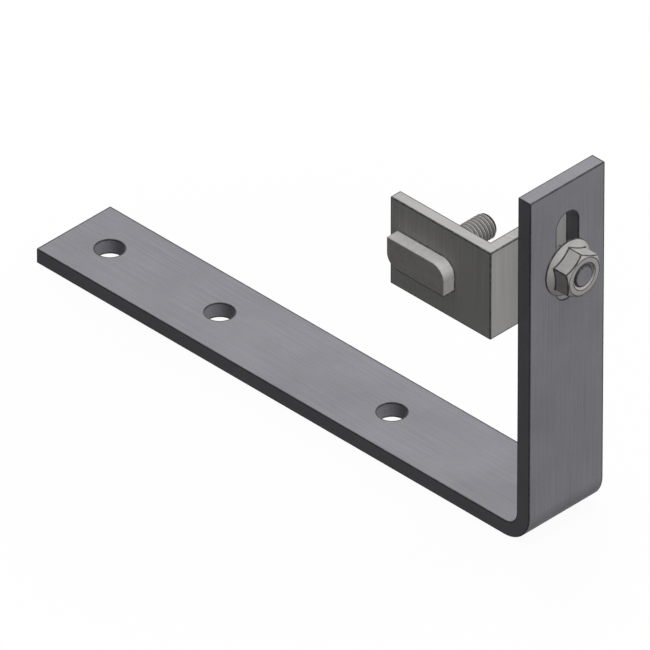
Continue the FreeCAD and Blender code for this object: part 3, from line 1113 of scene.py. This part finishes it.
@dataclass(frozen=True)
class HammerheadBolt(Bolt):
    """A bolt with an oblong head, rounded at the two corners that lead as it turns in the rail."""

    head_height: float = 4.7 * MM
    head_length: float = 22.7 * MM
    head_width: float = 9.8 * MM
    corner_radius: float = 4.6 * MM
    corner_steps: int = 16
    # A line of painted shade runs round the seat, where the head meets the angle, and along the
    # lower edges; the other rounded edges get only a faint worn line.
    seat_line: float = 0.45 * MM
    lower_line: float = 0.5 * MM
    washed: float = 0.25

    def outline(self, inset: float = 0.0) -> list[tuple[float, float]]:
        """The head's outline, anticlockwise as seen from the thread end.

        Args:
            inset: How far inside the head's sides it runs.

        Returns:
            Its points, among them one beside each square corner, where the painted lower shade line
            ends.
        """
        radius = self.corner_radius - inset
        long, wide = self.head_length / 2 - inset, self.head_width / 2 - inset
        points = [(-long, -wide)]
        for step in range(self.corner_steps + 1):
            angle = math.radians(-90 + 90 * step / self.corner_steps)
            x = long - radius + radius * math.cos(angle)
            y = radius - wide + radius * math.sin(angle)
            points.append((x, y))
        points.append((long, self.head_width / 2 - self.lower_line - inset))
        return points + [(-x, -y) for x, y in points]

    def add_head(self, lathe: Lathe) -> None:
        """Builds the oblong head and opens its bearing face for the shank.

        Args:
            lathe: What the head is built on.
        """
        form = lathe.form
        mark = form.faces.layers.float["rounded"]
        rows = [
            [form.verts.new((x, y, height)) for x, y in self.outline(inset)]
            for inset, height in (
                (self.lower_line, -self.head_height),
                (0.0, -self.head_height),
                (0.0, -self.seat_line),
                (0.0, 0.0),
            )
        ]
        form.faces.new(rows[0][::-1])
        form.faces.new(rows[-1])
        # The walls next to the seat carry the painted shade line round it.
        for nearer, farther in zip(rows, rows[1:]):
            for here in range(len(nearer)):
                after = (here + 1) % len(nearer)
                wall = form.faces.new((nearer[here], nearer[after], farther[after], farther[here]))
                wall[mark] = float(farther is rows[-1])
        lathe.soften(self.softening, self.washed, lambda middle: middle.z < -SAME_POINT)
        self.mark_lower_line(lathe)

        form.normal_update()
        upper = [face for face in form.faces if face.normal.z > FACING]
        bearing = max(upper, key=lambda face: face.calc_area())
        rim = list(bearing.edges)
        bmesh.ops.delete(form, geom=[bearing], context="FACES_ONLY")
        hole = [form.verts.new(point) for point in lathe.ring(self.thread.blank_radius, 0.0)]
        hole_edges = [form.edges.new(ends) for ends in zip(hole, hole[1:] + hole[:1])]
        bmesh.ops.triangle_fill(form, edges=rim + hole_edges, use_beauty=True)

    def mark_lower_line(self, lathe: Lathe) -> None:
        """Marks the lower side's rounded edges and narrow faces, at local +Y, as painted shade.

        Args:
            lathe: What the head is built on.
        """
        mark = lathe.form.faces.layers.float["rounded"]
        lathe.form.normal_update()
        for face in lathe.form.faces:
            rounding = 0.0 < face[mark] < 1.0 and face.normal.y > LEANING
            beside = face.calc_center_median().y > self.head_width / 2 - self.lower_line
            if rounding or (beside and face.normal.y < FACING):
                face[mark] = 1.0


# Sub-assemblies


@dataclass(frozen=True)
class Fastening:
    """A bolt and its flange nut about one axis, on one body, in the place that the frame gives."""

    body: str
    bolt_node: str
    nut_node: str
    along: Along
    nut_turn: float
    bolt: Bolt
    bolt_slot: str = "fastener_steel"
    nut_slot: str = "fastener_steel"
    nut: FlangeNut = FlangeNut()

    def origin(self) -> Vector:
        """The middle of the head's bearing face.

        Returns:
            Its place on the hook.
        """
        low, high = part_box(self.bolt_node)
        middle = (low + high) / 2
        middle[self.along.value] = low[self.along.value] + self.bolt.head_height
        return middle

    def height(self, corner: Vector) -> float:
        """How far up the bolt's axis a corner of a box lies."""
        return corner[self.along.value] - self.origin()[self.along.value]

    def make(self, skin: ThreadSkin, bolt_finish: Material, nut_finish: Material) -> None:
        """Builds the bolt and its nut, each in its CAD node's stead.

        Args:
            skin: The thread's node tree.
            bolt_finish: The bolt's material.
            nut_finish: The nut's material.
        """
        length = self.height(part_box(self.bolt_node)[1])
        bolt = self.bolt.mesh(f"{self.bolt_node}_threaded", skin, bolt_finish, length)
        self.mark_thread(bolt, length)
        bolt_piece = self.place(bolt, bolt_finish)
        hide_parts(self.bolt_node)

        seat = self.height(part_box(self.nut_node)[0])
        nut = self.nut.mesh(f"{self.nut_node}_threaded", skin, nut_finish, seat, self.nut_turn)
        self.mark_thread(nut)
        nut_piece = self.place(nut, nut_finish)
        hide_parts(self.nut_node)

    def mark_thread(self, mesh: Mesh, bolt_length: float = 0.0) -> None:
        """Stores each point's distance from the axis and its height on the thread, for the finish.

        Args:
            mesh: The mesh about the local Z axis.
            bolt_length: The length of a bolt's thread, or 0 for a nut.
        """
        thread = self.nut.thread
        depth = thread.crest_radius - thread.root_radius
        cone = thread.crest_radius - thread.tip_radius
        distances = [vertex.co.xy.length for vertex in mesh.vertices]
        heights = []
        for radius, vertex in zip(distances, mesh.vertices):
            # A nut lies above height 0, so that none of it is in the cone of a bolt's tip.
            below_end = bolt_length - vertex.co.z
            in_cone = SAME_POINT < below_end < cone
            on_shank = vertex.co.z > thread.run_in and below_end > SAME_POINT
            threaded = on_shank if bolt_length else radius < thread.crest_radius
            height = (radius - thread.root_radius) / depth if threaded else 1.0
            # Points on the tip's cone get height 0, so the finish paints shade on them as in the
            # roots.
            heights.append(0.0 if in_cone else height)
        for name, values in (("axis_distance", distances), ("thread_height", heights)):
            layer = mesh.attributes.new(name, "FLOAT", "POINT")
            layer.data.foreach_set("value", values)

    def place(self, mesh: Mesh, finish: Material) -> Object:
        """Turns a finished mesh to its place on the hook and smooths its shading.

        Args:
            mesh: The mesh about the local Z axis.
            finish: Its material.

        Returns:
            The piece, riding on the body.
        """
        mesh.transform(Matrix.Translation(self.origin()) @ self.along.turn())
        mesh.materials.clear()
        mesh.materials.append(finish)
        mesh.polygons.foreach_set("use_smooth", [True] * len(mesh.polygons))
        mesh.set_sharp_from_angle(angle=SHARP_ANGLE)
        carrier = carry(mesh)
        # Large faces stay flat to the light, and only the narrow roundings bend it.
        weighting = carrier.modifiers.new("flat_faces", "WEIGHTED_NORMAL")
        weighting.keep_sharp = True
        piece = carry(take_mesh(carrier))
        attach(piece, self.body)
        report(piece)
        return piece


@dataclass(frozen=True)
class SlotClamp(Fastening):
    """The hexagon bolt through the strap's slot, with the nut on the strap's outer face."""

    body: str = "slot_clamp"
    bolt_node: str = "slot_bolt"
    nut_node: str = "slot_nut"
    along: Along = Along.X
    nut_turn: float = math.radians(4.5)
    bolt: Bolt = HexagonBolt()
    bolt_slot: str = "slot_bolt_steel"


@dataclass(frozen=True)
class RailClamp(Fastening):
    """The hammerhead bolt through the angle's rail leg, with its nut inside the angle."""

    body: str = "rail_clamp"
    bolt_node: str = "hammerhead_bolt"
    nut_node: str = "hammerhead_nut"
    along: Along = Along.Y
    nut_turn: float = math.radians(12)
    bolt: Bolt = HammerheadBolt()


@dataclass(frozen=True)
class Bar:
    """A piece of bar stock whose CAD node shows as it is, with a finish of its own."""

    node: str
    finish: Finish

    def dress(self) -> None:
        """Gives the node its finish."""
        piece = frame["nodes"][self.node]
        piece.data.materials.clear()
        piece.data.materials.append(self.finish.build())
        report(piece)


def report(piece: Object) -> None:
    """Logs a piece's name, its number of triangles and its material."""
    triangles = sum(len(face.vertices) - 2 for face in piece.data.polygons)
    log.info("%s: %d triangles, %s", piece.name, triangles, piece.data.materials[0].name)


# Studio


def look_at(carrier: Object, position: Sequence[float], target: Sequence[float]) -> None:
    """Puts a lamp or a camera in its position, looking at a target."""
    carrier.location = position
    carrier.rotation_euler = (Vector(target) - carrier.location).to_track_quat("-Z", "Y").to_euler()


@dataclass(frozen=True)
class SoftBox:
    """A rectangular studio lamp."""

    name: str
    position: tuple[float, float, float]
    aim: tuple[float, float, float]
    width: float
    depth: float
    power: float
    casts_shadow: bool = True

    def make(self) -> None:
        """Hangs the lamp."""
        lamp = bpy.data.lights.new(self.name, "AREA")
        lamp.shape = "RECTANGLE"
        lamp.size, lamp.size_y, lamp.energy = self.width, self.depth, self.power
        lamp.use_shadow = self.casts_shadow
        look_at(carry(lamp), self.position, self.aim)


@dataclass(frozen=True)
class Studio:
    """A white floor, soft boxes above, to the right and behind, and a camera with a long lens.

    The photograph has no perspective, so the camera is so far off that none shows.
    """

    floor_reach: float = 4.0
    floor_drop: float = 0.05 * MM
    floor_tone: str = "#484848"
    shadow_share: float = 0.12
    shadow_reach: float = 0.18
    fill: float = 0.12
    eye: tuple[float, float, float] = (4.7591, -4.8006, 4.8443)
    target: tuple[float, float, float] = (-0.0080, -0.0192, 0.0412)
    lens: float = 1604.8
    clip: tuple[float, float] = (1.0, 20.0)
    # The two boxes on the right cast no shadow, as the photograph has none; the others do, softly.
    boxes: tuple[SoftBox, ...] = (
        SoftBox(
            "key_box", (1.22, 0.41, 2.45), (0.0, 0.0, 0.05), 1.2, 1.2, 50.0, casts_shadow=False
        ),
        SoftBox("overhead_box", (-0.08, 0.14, 2.35), (0.0, 0.0, 0.04), 1.5, 1.5, 11.5),
        SoftBox(
            "right_box", (2.9, 0.17, 0.75), (0.03, 0.0, 0.06), 1.35, 1.2, 11.5, casts_shadow=False
        ),
        SoftBox("back_box", (-2.0, 1.7, 1.0), (0.0, 0.0, 0.05), 1.35, 1.2, 11.5),
    )

    def seen_directly(self, tree: Tree) -> Node:
        """1 for the camera and for what metal or glass shows of the background, else 0.

        Args:
            tree: The tree that gets the nodes.

        Returns:
            The node whose output that is.
        """
        add = partial(add_node, tree)
        path = add("ShaderNodeLightPath").outputs
        seen = add(MATH, {0: path["Is Camera Ray"], 1: path["Is Glossy Ray"]}, operation="MAXIMUM")
        return add(MATH, {0: seen, 1: path["Is Transmission Ray"]}, operation="MAXIMUM")

    def floor_paint(self) -> Material:
        """Paints the floor white with a faint shadow to the eye, and grey to what it lights.

        Returns:
            The material.
        """
        material = bpy.data.materials.new("studio_floor_matt_white")
        material.use_nodes = True
        tree = material.node_tree
        tree.nodes.clear()
        add = partial(add_node, tree)
        spot = add("ShaderNodeTexCoord").outputs["Object"]
        away = add(VECTOR_MATH, {0: spot}, operation="LENGTH").outputs["Value"]
        reach = self.shadow_reach
        limits = {0: away, 1: reach / 2, 2: reach, 3: self.shadow_share, 4: 0.0}
        matt_share = add(MAP_RANGE, limits, interpolation_type="SMOOTHSTEP")
        glow = add("ShaderNodeEmission", {0: WHITE, 1: 1.0})
        matt = add("ShaderNodeBsdfDiffuse", {0: WHITE})
        white = add("ShaderNodeMixShader", {0: matt_share, 1: glow, 2: matt})
        grey = add("ShaderNodeBsdfDiffuse", {0: linear(self.floor_tone)})
        shown = add("ShaderNodeMixShader", {0: self.seen_directly(tree), 1: grey, 2: white})
        add("ShaderNodeOutputMaterial", {"Surface": shown})
        return material

    def lay_floor(self) -> None:
        """Lays the floor just under the strap."""
        reach, low = self.floor_reach, -self.floor_drop
        mesh = bpy.data.meshes.new("studio_floor")
        corners = [(x * reach, y * reach, low) for x, y in ((-1, -1), (1, -1), (1, 1), (-1, 1))]
        mesh.from_pydata(corners, [], [(0, 1, 2, 3)])
        mesh.materials.append(self.floor_paint())
        carry(mesh)

    def light_world(self) -> None:
        """Surrounds the scene with a weak even fill, white where it shows."""
        world = bpy.data.worlds.new("studio_world")
        bpy.context.scene.world = world
        world.use_nodes = True
        tree = world.node_tree
        tree.nodes.clear()
        add = partial(add_node, tree)
        fill = add("ShaderNodeBackground", {0: WHITE, 1: self.fill})
        white = add("ShaderNodeBackground", {0: WHITE, 1: 1.0})
        shown = add("ShaderNodeMixShader", {0: self.seen_directly(tree), 1: fill, 2: white})
        add("ShaderNodeOutputWorld", {"Surface": shown})

    def place_camera(self) -> None:
        """Puts the camera at the photograph's viewing angle."""
        lens = bpy.data.cameras.new("camera")
        lens.lens = self.lens
        lens.clip_start, lens.clip_end = self.clip
        camera = carry(lens)
        look_at(camera, self.eye, self.target)
        bpy.context.scene.camera = camera

    def make(self) -> None:
        """Sets up the whole studio."""
        bpy.context.scene.view_settings.view_transform = "Standard"
        self.lay_floor()
        self.light_world()
        for box in self.boxes:
            box.make()
        self.place_camera()


def main() -> None:
    logging.basicConfig(level=logging.INFO, format="%(name)s: %(message)s")
    Bar("hook_strap", STRAP_FINISH).dress()
    Bar("clamp_angle", ANGLE_FINISH).dress()
    skin = ThreadSkin()
    fastener_finish = FASTENER_FINISH.build()
    SlotClamp().make(skin, SLOT_BOLT_FINISH.build(), fastener_finish)
    RailClamp().make(skin, fastener_finish, fastener_finish)
    Studio().make()


if __name__ == "__main__":
    main()
